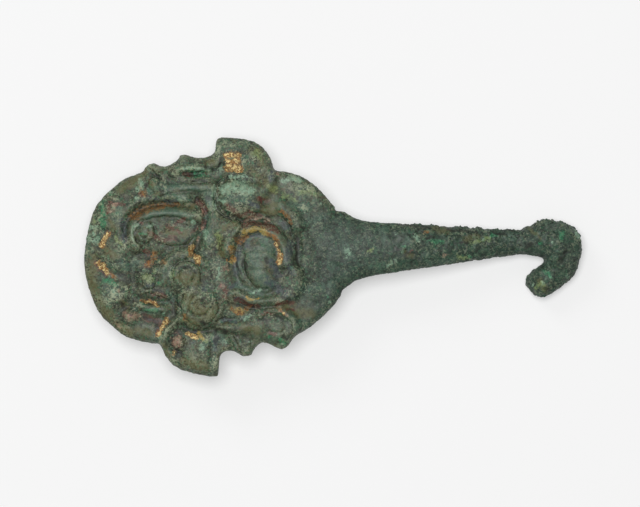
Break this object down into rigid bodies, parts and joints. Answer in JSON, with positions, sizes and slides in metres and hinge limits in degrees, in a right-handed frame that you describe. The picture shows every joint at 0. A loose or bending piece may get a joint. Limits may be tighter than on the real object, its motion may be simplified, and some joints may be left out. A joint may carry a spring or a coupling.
{
  "type": "garment hook",
  "caption": "Corroded cast bronze garment hook: a round relief plate of coiled creatures with traces of gilding, a tapering neck, a blunt hook, and a stud with a button behind.",
  "frame": {"origin": "middle of the button's flat face, on the surface that the hook lies on", "axes": "+X from the plate along the neck to the hook, +Z out of the relief, +Y to the side that the hook curls away from"},
  "size_m": [0.0881, 0.0424, 0.0112],
  "materials": {
    "patinated_bronze": "corroded grey-green patina, granular, with reddish and bright green spots and worn gilding"
  },
  "bodies": {
    "root": {"garment_hook": "patinated_bronze"}
  },
  "joints": []
}
